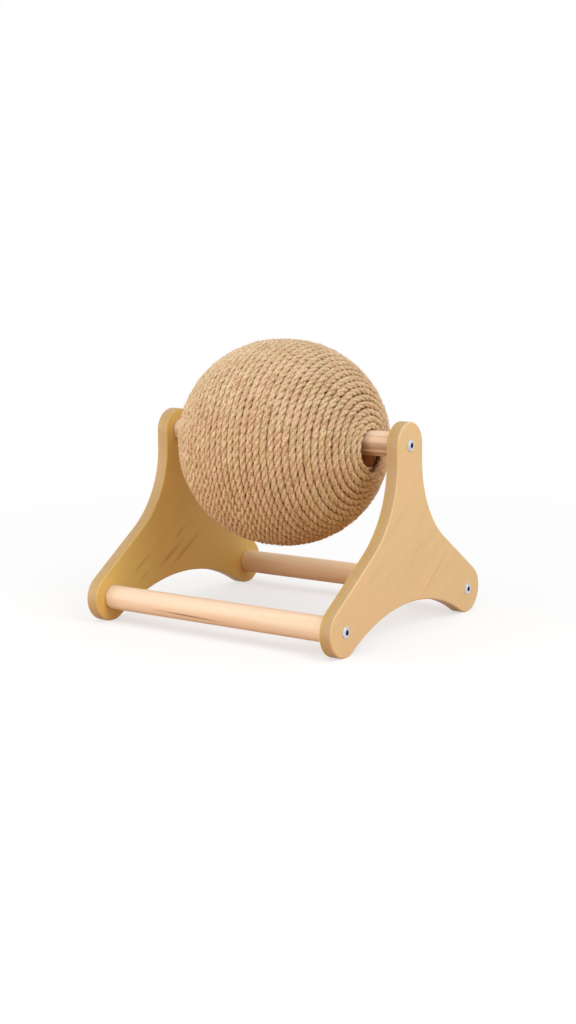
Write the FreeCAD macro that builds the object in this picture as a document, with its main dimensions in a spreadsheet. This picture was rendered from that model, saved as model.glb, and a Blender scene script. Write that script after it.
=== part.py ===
import FreeCAD, Part
import Sketcher
import math
import os

# Cat scratching ball: a rope-wound ball that hangs on a wooden axle between two side panels.
# X runs along the axle, Y from front to back and Z up; the floor under the feet is Z = 0.

doc = FreeCAD.newDocument("cat_scratching_ball")
sheet = doc.addObject("Spreadsheet::Sheet", "Sizes")

# Driving sizes, in millimetres
SIZES = {
    # Stand
    "inner_width": "221",  # clear width between the side panels, which the dowels span
    "dowel_diameter": "20",  # axle dowel and both spreader dowels
    "panel_thickness": "11",  # board of the side panels
    "edge_round": "1.2",  # rounding of the panel edges
    "axle_height": "150.6",  # axle axis above the floor
    "foot_spacing": "186",  # front spreader axis to rear spreader axis
    "foot_axis_height": "19.6",  # spreader axes above the floor
    "foot_radius": "20",  # round end of each foot
    "lobe_radius": "18.5",  # round top of each panel
    "neck_length": "12.3",  # straight side below the round top
    "flare_radius": "82",  # hollow curve between the neck and the legs
    "arch_height": "25.1",  # highest point of the arch between the feet
    # Screws
    "head_diameter": "9.5",  # flat button head
    "head_height": "1.2",  # head above the panel face
    "head_rim": "0.5",  # straight rim under the dome
    "head_flat": "7",  # flat around the socket
    "socket_width": "4",  # hexagon socket across its flats
    "socket_depth": "0.9",  # hexagon socket
    "shank_diameter": "5",  # screw shank with its thread
    "shank_length": "45",  # head's underside to tip
    "point_length": "5",  # conical tip
    "panel_hole_clearance": "0.2",  # shank to panel hole, all round
    "thread_clearance": "0.05",  # thread to the hole that it has cut, all round
    "tip_clearance": "2",  # hole beyond the screw's tip
    # Ball
    "ball_diameter": "170",  # over the rope, round the axle
    "belt_width": "6",  # straight belt between the two round halves
    "bore_diameter": "30",  # bore of the tube that runs on the axle
    "axle_gap": "0.3",  # tube to axle where the ball hangs on it
    "tube_wall": "2",  # bore tube
    "tube_setback": "0.3",  # tube end below the core's surface
    "tube_fit": "0.06",  # bore tube to hub, all round
    "shell_wall": "3",  # core halves
    "hub_length": "22",  # collar of each half on the bore tube
    "hub_wall": "3",  # collar of each half
    "lap_length": "5",  # spigot of the left half in the right half
    "lap_clearance": "0.1",  # spigot to its rebate
    "rope_diameter": "5.1",  # sisal rope as it lies pressed in the winding
    "turn_gap": "0.45",  # least room between neighbouring turns
    "rope_seat": "0.25",  # rope to core
}
for row, (alias, text) in enumerate(SIZES.items(), 1):
    sheet.set("A%d" % row, alias)
    sheet.set("B%d" % row, text)
    sheet.setAlias("B%d" % row, alias)
doc.recompute()


def value(alias):
    """Read a size from the sheet as a plain number."""
    return float(sheet.get(alias))


# Places that follow from the sizes
FOOT_Y = value("foot_spacing") / 2
TUBE_RADIUS = value("bore_diameter") / 2 + value("tube_wall")
HUB_BORE = TUBE_RADIUS + value("tube_fit")
BELT_HALF = value("belt_width") / 2
ROPE_RADIUS = value("rope_diameter") / 2
WINDING_RADIUS = value("ball_diameter") / 2 - ROPE_RADIUS
CORE_RADIUS = WINDING_RADIUS - ROPE_RADIUS - value("rope_seat")
CORE_END = BELT_HALF + math.sqrt(CORE_RADIUS ** 2 - HUB_BORE ** 2)

# The same places as formulas of the sheet
AXLE_Z = "Sizes.axle_height"
FOOT_Z = "Sizes.foot_axis_height"
FRONT_Y = "-Sizes.foot_spacing / 2"
REAR_Y = "Sizes.foot_spacing / 2"
TUBE_OUTER = "(Sizes.bore_diameter / 2 + Sizes.tube_wall)"
HUB_INNER = "(%s + Sizes.tube_fit)" % TUBE_OUTER
CORE_OUTER = "(Sizes.ball_diameter / 2 - Sizes.rope_diameter - Sizes.rope_seat)"
CORE_INNER = "(%s - Sizes.shell_wall)" % CORE_OUTER
CORE_FACE = "(Sizes.belt_width / 2 + sqrt(%s^2 - %s^2))" % (CORE_OUTER, HUB_INNER)
LAP_MIDDLE = "(%s - Sizes.shell_wall / 2)" % CORE_OUTER
HANG_Z = "Sizes.axle_height - (Sizes.bore_diameter - Sizes.dowel_diameter) / 2 + Sizes.axle_gap"
SCREW_IN_DOWEL = "(Sizes.shank_length - Sizes.panel_thickness)"
PILOT_RADIUS = "Sizes.shank_diameter / 2 + Sizes.thread_clearance"
PILOT_DEPTH = "(%s + Sizes.tip_clearance)" % SCREW_IN_DOWEL

Y_AXIS = FreeCAD.Vector(0, 1, 0)
Z_AXIS = FreeCAD.Vector(0, 0, 1)
ORIGIN = FreeCAD.Vector(0, 0, 0)
ALONG_X = FreeCAD.Rotation(Y_AXIS, 90)
HALF_TURN = FreeCAD.Rotation(Z_AXIS, 180)

# A sketch's own origin and axes, and the points of an edge
H_AXIS, V_AXIS = range(-1, -3, -1)
START, END, CENTRE = range(1, 4)

subparts = []


def place(part, label, x, y, z, rotation=None):
    """Name a sub-part and tie its place to the sheet."""
    part.Label = label
    if rotation is not None:
        part.Placement = FreeCAD.Placement(ORIGIN, rotation)
    part.setExpression("Placement.Base.x", x)
    part.setExpression("Placement.Base.y", y)
    part.setExpression("Placement.Base.z", z)
    subparts.append(part)


def origin_plane(body, role):
    """Find a body's own origin plane or axis by its role."""
    return next(f for f in body.Origin.OriginFeatures if f.Role == role)


def new_sketch(body, role, name):
    """Start a sketch on one of the body's origin planes."""
    sketch = body.newObject("Sketcher::SketchObject", name)
    sketch.AttachmentSupport = [(origin_plane(body, role), "")]
    sketch.MapMode = "FlatFace"
    return sketch


def line(sketch, x1, y1, x2, y2):
    """Add a straight edge to a sketch."""
    start = FreeCAD.Vector(x1, y1, 0)
    end = FreeCAD.Vector(x2, y2, 0)
    return sketch.addGeometry(Part.LineSegment(start, end), False)


def arc(sketch, x, y, radius, start, end):
    """Add an arc, counter-clockwise from start to end in radians, to a sketch."""
    circle = Part.Circle(FreeCAD.Vector(x, y, 0), Z_AXIS, radius)
    return sketch.addGeometry(Part.ArcOfCircle(circle, start, end), False)


def join(sketch, kind, first, first_end, second, second_end):
    """Join the ends of two edges, Coincident or Tangent."""
    sketch.addConstraint(Sketcher.Constraint(kind, first, first_end, second, second_end))


def rule(sketch, kind, *which):
    """Add a constraint that has no size."""
    sketch.addConstraint(Sketcher.Constraint(kind, *which))


def dimension(sketch, name, formula, kind, *which):
    """Add a dimension and tie it to the sheet."""
    index = sketch.addConstraint(Sketcher.Constraint(kind, *which))
    sketch.renameConstraint(index, name)
    sketch.setExpression("Constraints." + name, formula)


def rectangle(sketch, x1, y1, x2, y2):
    """Add a rectangle: its top, right, bottom and left sides, each from one corner to the next."""
    corners = [(x1, y2), (x2, y2), (x2, y1), (x1, y1)]
    sides = []
    for here, there in zip(corners, corners[1:] + corners[:1]):
        sides.append(line(sketch, here[0], here[1], there[0], there[1]))
    for side, following in zip(sides, sides[1:] + sides[:1]):
        join(sketch, "Coincident", side, END, following, START)
    for level in sides[0::2]:
        rule(sketch, "Horizontal", level)
    for upright in sides[1::2]:
        rule(sketch, "Vertical", upright)
    return sides


def feature(body, kind, name, profile=None):
    """Add a feature to a body as its new tip."""
    made = body.newObject("PartDesign::" + kind, name)
    if profile is not None:
        made.Profile = profile
    body.Tip = made
    return made


def check_cut(before, after, name):
    """Stop if a cut has taken nothing away."""
    if after.Shape.Volume >= before.Shape.Volume:
        raise RuntimeError(name + " cuts nothing")


def panel_half_outline(sketch):
    """Draw the rear half of a panel: round top, neck, flared leg, foot and arch."""
    foot_z = value("foot_axis_height")
    foot_r = value("foot_radius")
    lobe_r = value("lobe_radius")
    flare_r = value("flare_radius")
    top_z = value("axle_height")
    arch_z = value("arch_height")
    neck_z = top_z - value("neck_length")

    # The leg's upper edge touches the flare's circle and the foot's circle
    across = lobe_r + flare_r - FOOT_Y
    up = neck_z - foot_z
    slope = math.atan2(across, up) + math.acos((foot_r + flare_r) / math.hypot(across, up))
    turn = math.pi / 2 - slope
    leg_y = FOOT_Y + foot_r * math.sin(slope)
    leg_z = foot_z + foot_r * math.cos(slope)
    flare_y = lobe_r + flare_r * (1 - math.sin(slope))
    flare_z = neck_z - flare_r * math.cos(slope)

    rise = arch_z - foot_z
    arch_r = (FOOT_Y ** 2 + rise ** 2 - foot_r ** 2) / (2 * (foot_r + rise))
    arch_angle = math.atan2(arch_r - rise, FOOT_Y)

    middle = line(sketch, 0, arch_z, 0, top_z + lobe_r)
    lobe = arc(sketch, 0, top_z, lobe_r, 0, math.pi / 2)
    neck = line(sketch, lobe_r, top_z, lobe_r, neck_z)
    flare = arc(sketch, lobe_r + flare_r, neck_z, flare_r, math.pi, math.pi + turn)
    leg = line(sketch, flare_y, flare_z, leg_y, leg_z)
    foot = arc(sketch, FOOT_Y, foot_z, foot_r, arch_angle - math.pi, turn)
    arch = arc(sketch, 0, arch_z - arch_r, arch_r, arch_angle, math.pi / 2)

    join(sketch, "Tangent", lobe, START, neck, START)
    join(sketch, "Tangent", neck, END, flare, START)
    join(sketch, "Tangent", flare, END, leg, START)
    join(sketch, "Tangent", leg, END, foot, END)
    join(sketch, "Tangent", foot, START, arch, START)
    join(sketch, "Coincident", arch, END, middle, START)
    join(sketch, "Coincident", middle, END, lobe, END)
    rule(sketch, "PointOnObject", middle, START, V_AXIS)
    rule(sketch, "PointOnObject", middle, END, V_AXIS)
    rule(sketch, "PointOnObject", lobe, CENTRE, V_AXIS)
    rule(sketch, "PointOnObject", arch, CENTRE, V_AXIS)
    rule(sketch, "Vertical", neck)
    dimension(sketch, "lobe_radius", "Sizes.lobe_radius", "Radius", lobe, lobe_r)
    dimension(sketch, "flare_radius", "Sizes.flare_radius", "Radius", flare, flare_r)
    dimension(sketch, "foot_radius", "Sizes.foot_radius", "Radius", foot, foot_r)
    dimension(sketch, "foot_y", REAR_Y, "DistanceX", H_AXIS, START, foot, CENTRE, FOOT_Y)
    dimension(sketch, "foot_z", FOOT_Z, "DistanceY", H_AXIS, START, foot, CENTRE, foot_z)
    dimension(sketch, "top_z", AXLE_Z, "DistanceY", H_AXIS, START, lobe, CENTRE, top_z)
    dimension(sketch, "neck", "Sizes.neck_length", "DistanceY", neck, END, neck, START, top_z - neck_z)
    dimension(sketch, "arch_z", "Sizes.arch_height", "DistanceY", H_AXIS, START, arch, END, arch_z)


def sole_cut(sketch):
    """Draw what is cut off below the floor, so that the feet stand flat."""
    reach = FOOT_Y + value("foot_radius")
    depth = value("foot_radius")
    floor, right, bottom, left = rectangle(sketch, -reach, -depth, reach, 0)
    reach_formula = "Sizes.foot_spacing / 2 + Sizes.foot_radius"
    rule(sketch, "PointOnObject", floor, START, H_AXIS)
    dimension(sketch, "right_y", reach_formula, "DistanceX", H_AXIS, START, right, START, reach)
    dimension(sketch, "left_y", reach_formula, "DistanceX", left, START, H_AXIS, START, reach)
    dimension(sketch, "depth", "Sizes.foot_radius", "DistanceY", bottom, START, H_AXIS, START, depth)


def screw_hole(sketch, name, y, z, y_formula, z_formula):
    """Draw one clearance hole for a screw in a panel."""
    radius = value("shank_diameter") / 2 + value("panel_hole_clearance")
    formula = "Sizes.shank_diameter / 2 + Sizes.panel_hole_clearance"
    hole = sketch.addGeometry(Part.Circle(FreeCAD.Vector(y, z, 0), Z_AXIS, radius), False)
    dimension(sketch, name + "_radius", formula, "Radius", hole, radius)
    dimension(sketch, name + "_z", z_formula, "DistanceY", H_AXIS, START, hole, CENTRE, z)
    if y == 0:
        rule(sketch, "PointOnObject", hole, CENTRE, V_AXIS)
    elif y > 0:
        dimension(sketch, name + "_y", y_formula, "DistanceX", H_AXIS, START, hole, CENTRE, y)
    else:
        dimension(sketch, name + "_y", y_formula, "DistanceX", hole, CENTRE, H_AXIS, START, -y)


def side_panel(label, x):
    """A wooden side: half outline, mirrored, rounded along both faces and drilled."""
    body = doc.addObject("PartDesign::Body", label + "_body")
    outline = new_sketch(body, "YZ_Plane", label + "_outline")
    panel_half_outline(outline)
    board = feature(body, "Pad", label + "_board", outline)
    board.setExpression("Length", "Sizes.panel_thickness")
    whole = feature(body, "Mirrored", label + "_whole")
    whole.Originals = [board]
    whole.MirrorPlane = (origin_plane(body, "XZ_Plane"), [""])
    doc.recompute()

    by_area = sorted(enumerate(whole.Shape.Faces, 1), key=lambda entry: entry[1].Area)
    flats = ["Face%d" % number for number, face in by_area[-2:]]
    rounded = feature(body, "Fillet", label + "_edges")
    rounded.Base = (whole, flats)
    rounded.setExpression("Radius", "Sizes.edge_round")
    doc.recompute()

    below = new_sketch(body, "YZ_Plane", label + "_below")
    sole_cut(below)
    soles = feature(body, "Pocket", label + "_soles", below)
    soles.Type = "ThroughAll"
    soles.Reversed = True
    doc.recompute()
    check_cut(rounded, soles, label)

    holes = new_sketch(body, "YZ_Plane", label + "_holes")
    screw_hole(holes, "axle", 0, value("axle_height"), None, AXLE_Z)
    screw_hole(holes, "rear", FOOT_Y, value("foot_axis_height"), REAR_Y, FOOT_Z)
    screw_hole(holes, "front", -FOOT_Y, value("foot_axis_height"), REAR_Y, FOOT_Z)
    drilled = feature(body, "Pocket", label + "_drilled", holes)
    drilled.Type = "ThroughAll"
    drilled.Reversed = True
    doc.recompute()
    check_cut(soles, drilled, label)
    place(body, label, x, "0", "0")


def cylinder(name, radius, length, start="0"):
    """A round bar along its own Z, tied to the sheet."""
    bar = doc.addObject("Part::Cylinder", name)
    bar.setExpression("Radius", radius)
    bar.setExpression("Height", length)
    bar.setExpression("Placement.Base.z", start)
    return bar


def dowel(label, y, z):
    """A wooden dowel between the panels, with a screw hole in each end."""
    rod = cylinder(label + "_rod", "Sizes.dowel_diameter / 2", "Sizes.inner_width")
    near = cylinder(label + "_near_hole", PILOT_RADIUS, PILOT_DEPTH)
    far_start = "Sizes.inner_width - %s" % PILOT_DEPTH
    far = cylinder(label + "_far_hole", PILOT_RADIUS, PILOT_DEPTH, far_start)
    holes = doc.addObject("Part::Fuse", label + "_holes")
    holes.Base = near
    holes.Tool = far
    drilled = doc.addObject("Part::Cut", label + "_drilled")
    drilled.Base = rod
    drilled.Tool = holes
    place(drilled, label, "-Sizes.inner_width / 2", y, z, ALONG_X)


def screw_profile(sketch):
    """Draw half of a screw along its axis: tip, shank, flat head with a rounded edge."""
    length = value("shank_length")
    tip = value("point_length")
    shank_r = value("shank_diameter") / 2
    head_r = value("head_diameter") / 2
    rim_x = value("head_rim")
    top_x = value("head_height")
    flat_r = value("head_flat") / 2
    dome_x = (top_x ** 2 + flat_r ** 2 - rim_x ** 2 - head_r ** 2) / (2 * (top_x - rim_x))
    dome_r = math.hypot(top_x - dome_x, flat_r)
    dome_start = math.atan2(flat_r, top_x - dome_x)
    dome_end = math.atan2(head_r, rim_x - dome_x)

    point = line(sketch, -length, 0, -length + tip, shank_r)
    shank = line(sketch, -length + tip, shank_r, 0, shank_r)
    under = line(sketch, 0, shank_r, 0, head_r)
    rim = line(sketch, 0, head_r, rim_x, head_r)
    dome = arc(sketch, dome_x, 0, dome_r, dome_start, dome_end)
    flat = line(sketch, top_x, flat_r, top_x, 0)
    axis = line(sketch, top_x, 0, -length, 0)

    join(sketch, "Coincident", point, END, shank, START)
    join(sketch, "Coincident", shank, END, under, START)
    join(sketch, "Coincident", under, END, rim, START)
    join(sketch, "Coincident", rim, END, dome, END)
    join(sketch, "Coincident", dome, START, flat, START)
    join(sketch, "Coincident", flat, END, axis, START)
    join(sketch, "Coincident", axis, END, point, START)
    for level in (shank, rim, axis):
        rule(sketch, "Horizontal", level)
    for upright in (under, flat):
        rule(sketch, "Vertical", upright)
    rule(sketch, "PointOnObject", axis, START, H_AXIS)
    rule(sketch, "PointOnObject", dome, CENTRE, H_AXIS)
    rule(sketch, "PointOnObject", under, START, V_AXIS)
    shank_formula = "Sizes.shank_diameter / 2"
    head_formula = "Sizes.head_diameter / 2"
    flat_formula = "Sizes.head_flat / 2"
    length_formula = "Sizes.shank_length"
    top_formula = "Sizes.head_height"
    dimension(sketch, "shank_r", shank_formula, "DistanceY", H_AXIS, START, shank, END, shank_r)
    dimension(sketch, "head_r", head_formula, "DistanceY", H_AXIS, START, rim, START, head_r)
    dimension(sketch, "flat_r", flat_formula, "DistanceY", H_AXIS, START, flat, START, flat_r)
    dimension(sketch, "rim_x", "Sizes.head_rim", "DistanceX", H_AXIS, START, rim, END, rim_x)
    dimension(sketch, "top_x", top_formula, "DistanceX", H_AXIS, START, flat, START, top_x)
    dimension(sketch, "length", length_formula, "DistanceX", axis, END, H_AXIS, START, length)
    dimension(sketch, "tip", "Sizes.point_length", "DistanceX", point, START, point, END, tip)


def hexagon(sketch):
    """Draw the hexagon of a screw's socket."""
    corner_r = value("socket_width") / math.sqrt(3)
    circle = Part.Circle(ORIGIN, Z_AXIS, corner_r)
    guide = sketch.addGeometry(circle, True)
    rule(sketch, "Coincident", guide, CENTRE, H_AXIS, START)
    dimension(sketch, "corner_r", "Sizes.socket_width / sqrt(3)", "Radius", guide, corner_r)
    corners = []
    for step in range(6):
        angle = step * math.pi / 3
        corners.append((corner_r * math.cos(angle), corner_r * math.sin(angle)))
    sides = []
    for here, there in zip(corners, corners[1:] + corners[:1]):
        sides.append(line(sketch, here[0], here[1], there[0], there[1]))
    for side, following in zip(sides, sides[1:] + sides[:1]):
        join(sketch, "Coincident", side, END, following, START)
        rule(sketch, "PointOnObject", side, END, guide)
    for side in sides[1:]:
        rule(sketch, "Equal", sides[0], side)
    rule(sketch, "PointOnObject", sides[0], START, H_AXIS)


def screw(label, x, y, z, rotation):
    """A flat button-head screw with a hexagon socket, head outwards."""
    body = doc.addObject("PartDesign::Body", label + "_body")
    profile = new_sketch(body, "XY_Plane", label + "_profile")
    screw_profile(profile)
    turned = feature(body, "Revolution", label + "_turned", profile)
    turned.ReferenceAxis = (origin_plane(body, "X_Axis"), [""])
    doc.recompute()
    socket = new_sketch(body, "YZ_Plane", label + "_hexagon")
    socket.setExpression("AttachmentOffset.Base.z", "Sizes.head_height")
    hexagon(socket)
    sunk = feature(body, "Pocket", label + "_socket", socket)
    sunk.setExpression("Length", "Sizes.socket_depth")
    doc.recompute()
    check_cut(turned, sunk, label)
    place(body, label, x, y, z, rotation)


def core_profile(sketch):
    """Draw half of a core half along the axle: belt, round shell and hub collar."""
    inner_r = CORE_RADIUS - value("shell_wall")
    hub_r = HUB_BORE + value("hub_wall")
    collar_x = CORE_END - value("hub_length")
    outer_start = math.asin(HUB_BORE / CORE_RADIUS)
    inner_start = math.asin(hub_r / inner_r)
    root_x = BELT_HALF + inner_r * math.cos(inner_start)

    belt = line(sketch, 0, CORE_RADIUS, BELT_HALF, CORE_RADIUS)
    outside = arc(sketch, BELT_HALF, 0, CORE_RADIUS, outer_start, math.pi / 2)
    bore = line(sketch, CORE_END, HUB_BORE, collar_x, HUB_BORE)
    collar = line(sketch, collar_x, HUB_BORE, collar_x, hub_r)
    hub = line(sketch, collar_x, hub_r, root_x, hub_r)
    inside = arc(sketch, BELT_HALF, 0, inner_r, inner_start, math.pi / 2)
    belt_inside = line(sketch, BELT_HALF, inner_r, 0, inner_r)
    edge = line(sketch, 0, inner_r, 0, CORE_RADIUS)

    join(sketch, "Tangent", belt, END, outside, END)
    join(sketch, "Coincident", outside, START, bore, START)
    join(sketch, "Coincident", bore, END, collar, START)
    join(sketch, "Coincident", collar, END, hub, START)
    join(sketch, "Coincident", hub, END, inside, START)
    join(sketch, "Tangent", inside, END, belt_inside, START)
    join(sketch, "Coincident", belt_inside, END, edge, START)
    join(sketch, "Coincident", edge, END, belt, START)
    for level in (belt, bore, hub, belt_inside):
        rule(sketch, "Horizontal", level)
    for upright in (collar, edge):
        rule(sketch, "Vertical", upright)
    rule(sketch, "PointOnObject", edge, START, V_AXIS)
    rule(sketch, "Coincident", outside, CENTRE, inside, CENTRE)
    rule(sketch, "PointOnObject", outside, CENTRE, H_AXIS)
    belt_formula = "Sizes.belt_width / 2"
    hub_formula = "%s + Sizes.hub_wall" % HUB_INNER
    hub_length = value("hub_length")
    dimension(sketch, "belt", belt_formula, "DistanceX", H_AXIS, START, outside, CENTRE, BELT_HALF)
    dimension(sketch, "outer_r", CORE_OUTER, "Radius", outside, CORE_RADIUS)
    dimension(sketch, "inner_r", CORE_INNER, "Radius", inside, inner_r)
    dimension(sketch, "bore_r", HUB_INNER, "DistanceY", H_AXIS, START, bore, START, HUB_BORE)
    dimension(sketch, "hub_r", hub_formula, "DistanceY", H_AXIS, START, hub, START, hub_r)
    dimension(sketch, "hub", "Sizes.hub_length", "DistanceX", bore, END, bore, START, hub_length)


def lap_ring(sketch, start_x, start_formula, outer_r, outer_formula):
    """Draw the section of the lap joint's ring, against the inside of the belt."""
    inner_r = CORE_RADIUS - value("shell_wall")
    end_x = value("lap_length")
    top, right, bottom, left = rectangle(sketch, start_x, inner_r, end_x, outer_r)
    end_formula = "Sizes.lap_length"
    dimension(sketch, "inner_r", CORE_INNER, "DistanceY", H_AXIS, START, bottom, START, inner_r)
    dimension(sketch, "outer_r", outer_formula, "DistanceY", H_AXIS, START, top, END, outer_r)
    dimension(sketch, "end_x", end_formula, "DistanceX", H_AXIS, START, right, START, end_x)
    if start_x < 0:
        dimension(sketch, "start_x", start_formula, "DistanceX", left, END, H_AXIS, START, -start_x)
    else:
        rule(sketch, "PointOnObject", left, END, V_AXIS)


def core_body(label):
    """A moulded half of the hollow core, without its lap joint."""
    body = doc.addObject("PartDesign::Body", label + "_body")
    profile = new_sketch(body, "XY_Plane", label + "_profile")
    core_profile(profile)
    shell = feature(body, "Revolution", label + "_shell", profile)
    shell.ReferenceAxis = (origin_plane(body, "X_Axis"), [""])
    doc.recompute()
    return body, shell


def core_half_right(label):
    """The right half of the core, with the rebate of the lap joint."""
    body, shell = core_body(label)
    section = new_sketch(body, "XY_Plane", label + "_lap")
    lap_ring(section, 0, None, CORE_RADIUS - value("shell_wall") / 2, LAP_MIDDLE)
    rebate = feature(body, "Groove", label + "_rebate", section)
    rebate.ReferenceAxis = (origin_plane(body, "X_Axis"), [""])
    doc.recompute()
    check_cut(shell, rebate, label)
    place(body, label, "0", "0", HANG_Z)


def core_half_left(label):
    """The left half of the core, with the spigot of the lap joint."""
    body, shell = core_body(label)
    section = new_sketch(body, "XY_Plane", label + "_lap")
    reach = value("lap_length") - value("lap_clearance")
    outer_r = CORE_RADIUS - value("shell_wall") / 2 - value("lap_clearance")
    reach_formula = "Sizes.lap_length - Sizes.lap_clearance"
    outer_formula = "%s - Sizes.lap_clearance" % LAP_MIDDLE
    lap_ring(section, -reach, reach_formula, outer_r, outer_formula)
    spigot = feature(body, "Revolution", label + "_spigot", section)
    spigot.ReferenceAxis = (origin_plane(body, "X_Axis"), [""])
    place(body, label, "0", "0", HANG_Z, HALF_TURN)


def bore_tube(label):
    """The cardboard tube through the ball, which hangs on the axle."""
    half_length = "(%s - Sizes.tube_setback)" % CORE_FACE
    outer = cylinder(label + "_outside", TUBE_OUTER, "2 * %s" % half_length)
    inner = cylinder(label + "_inside", "Sizes.bore_diameter / 2", "2 * %s" % half_length)
    tube = doc.addObject("Part::Cut", label + "_cut")
    tube.Base = outer
    tube.Tool = inner
    place(tube, label, "-%s" % half_length, "0", HANG_Z, ALONG_X)


# Course of the rope over one half of the ball, as its distance along the meridian from the
# middle plane. The turns step evenly there. Nearer to the mouth each one keeps level for a part
# of its turn and then steps over, so that the innermost one closes round the bore, level with it.
MOUTH_RADIUS = value("bore_diameter") / 2 + ROPE_RADIUS
MOUTH_ARC = BELT_HALF + WINDING_RADIUS * math.acos(MOUTH_RADIUS / WINDING_RADIUS)
HALF_TURNS = math.floor(2 * MOUTH_ARC / (value("rope_diameter") + value("turn_gap")))
TURNS = HALF_TURNS / 2
PITCH = MOUTH_ARC / TURNS
CLOSING_TURNS = 8
LEVEL_SHARE = 0.5
ARCS_PER_HALF_TURN = 2
POINTS_PER_ARC = 12
FULL_TURN = 2 * math.pi
SMALL_STEP = 1e-5


def smooth_step(share):
    """A step from 0 to 1 that starts and ends level."""
    share = min(max(share, 0), 1)
    return share * share * (3 - 2 * share)


def rope_arc(back):
    """Distance along the meridian, so many turns back from the rope's end."""
    part_turn = back % 1
    level = part_turn - smooth_step((part_turn - LEVEL_SHARE) / (1 - LEVEL_SHARE))
    closing = max(1 - back / CLOSING_TURNS, 0)
    return PITCH * (TURNS - back + closing * level)


def rope_point(back):
    """Centre of the rope, so many turns back from its end at the bottom of the mouth."""
    arc_length = rope_arc(back)
    lean = max(arc_length - BELT_HALF, 0) / WINDING_RADIUS
    along = min(arc_length, BELT_HALF) + WINDING_RADIUS * math.sin(lean)
    radius = WINDING_RADIUS * math.cos(lean)
    angle = FULL_TURN * back
    return FreeCAD.Vector(along, -radius * math.sin(angle), -radius * math.cos(angle))


def rope_direction(back):
    """Direction of the rope towards its end, so many turns back from it."""
    return (rope_point(back - SMALL_STEP) - rope_point(back + SMALL_STEP)).normalize()


def biarc(start, start_direction, end, end_direction):
    """Two arcs that leave start and reach end in the given directions."""
    chord = end - start
    both = start_direction + end_direction
    a = 2 * (start_direction.dot(end_direction) - 1)
    b = -2 * chord.dot(both)
    c = chord.dot(chord)
    reach = (-b - math.sqrt(b * b - 4 * a * c)) / (2 * a)
    if reach < 0:
        reach = (-b + math.sqrt(b * b - 4 * a * c)) / (2 * a)
    first = start + start_direction * reach
    second = end - end_direction * reach
    middle = (first + second) * 0.5
    return [arc_from(start, start_direction, middle), arc_to(middle, end, end_direction)]


def arc_from(start, direction, end):
    """The arc that leaves start in a direction and ends at end."""
    chord = end - start
    across = chord - direction * chord.dot(direction)
    half_angle = math.atan2(across.Length, chord.dot(direction))
    sagitta = chord.Length / 2 * math.tan(half_angle / 2)
    outward = direction - chord * (direction.dot(chord) / chord.dot(chord))
    return Part.Arc(start, (start + end) * 0.5 + outward.normalize() * sagitta, end).toShape()


def arc_to(start, end, direction):
    """The arc that leaves start and reaches end in a direction."""
    back = arc_from(end, direction * -1, start)
    middle = back.Curve.value((back.FirstParameter + back.LastParameter) / 2)
    return Part.Arc(start, middle, end).toShape()


def rope_path():
    """Edges of the rope's centre line, straight at the middle plane for one rope diameter."""
    reach = value("rope_diameter")
    first = rope_point(TURNS)
    direction = rope_direction(TURNS)
    here = first + direction * reach
    edges = [Part.LineSegment(first, here).toShape()]
    for step in reversed(range(HALF_TURNS * ARCS_PER_HALF_TURN)):
        back = step / ARCS_PER_HALF_TURN / 2
        there = rope_point(back)
        new_direction = rope_direction(back)
        edges += biarc(here, direction, there, new_direction)
        here = there
        direction = new_direction
    return edges


def least_gap(edges):
    """Least room between the rope and itself, measured on points of its centre line."""
    points = []
    for edge in edges:
        points += edge.discretize(Number=POINTS_PER_ARC)
    per_turn = 4 * ARCS_PER_HALF_TURN * POINTS_PER_ARC
    least = math.inf
    for index, point in enumerate(points):
        for other in points[index + per_turn // 2:index + 3 * per_turn // 2]:
            least = min(least, point.distanceToPoint(other))
    return least - value("rope_diameter")


def rope_half(label, shape, rotation):
    """The rope wound on one half of the ball, from the middle plane to the bore's mouth."""
    rope = doc.addObject("Part::Feature", label + "_shape")
    rope.Shape = shape
    place(rope, label, "0", "0", HANG_Z, rotation)


def wound_rope():
    """One unbroken tube along the rope's path."""
    edges = rope_path()
    circle = Part.Circle(rope_point(TURNS), rope_direction(TURNS), ROPE_RADIUS)
    shell = Part.BRepOffsetAPI.MakePipeShell(Part.Wire(edges))
    shell.add(Part.Wire([circle.toShape()]))
    shell.build()
    shell.makeSolid()
    solid = Part.Solid(shell.shape())
    length = sum(edge.Length for edge in edges)
    section = math.pi * ROPE_RADIUS ** 2
    print("rope: %.1f turns a half, %.2f mm apart, %.0f mm long" % (TURNS, PITCH, length))
    print("rope: volume %.1f, section times length %.1f" % (solid.Volume, section * length))
    print("rope: least gap to itself %.3f mm" % least_gap(edges))
    return solid


def check_and_write():
    """Stop on any failed object or bad shape, then write every sub-part's file."""
    doc.recompute()
    for thing in doc.Objects:
        if "Invalid" in thing.State or "Error" in thing.State:
            raise RuntimeError("%s failed: %s" % (thing.Label, thing.State))
    for part in subparts:
        if part.Shape.isNull() or not part.Shape.isValid():
            raise RuntimeError(part.Label + " has no valid shape")
    os.makedirs("parts", exist_ok=True)
    for part in subparts:
        part.Shape.exportStep("parts/%s.step" % part.Label)


RIGHT_FACE = "Sizes.inner_width / 2 + Sizes.panel_thickness"
LEFT_FACE = "-Sizes.inner_width / 2 - Sizes.panel_thickness"

side_panel("left_side_panel", LEFT_FACE)
side_panel("right_side_panel", "Sizes.inner_width / 2")

dowel("axle_dowel", "0", AXLE_Z)
dowel("front_spreader_dowel", FRONT_Y, FOOT_Z)
dowel("rear_spreader_dowel", REAR_Y, FOOT_Z)

for end, face, facing in (("left", LEFT_FACE, HALF_TURN), ("right", RIGHT_FACE, None)):
    screw("axle_screw_" + end, face, "0", AXLE_Z, facing)
    screw("front_screw_" + end, face, FRONT_Y, FOOT_Z, facing)
    screw("rear_screw_" + end, face, REAR_Y, FOOT_Z, facing)

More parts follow.
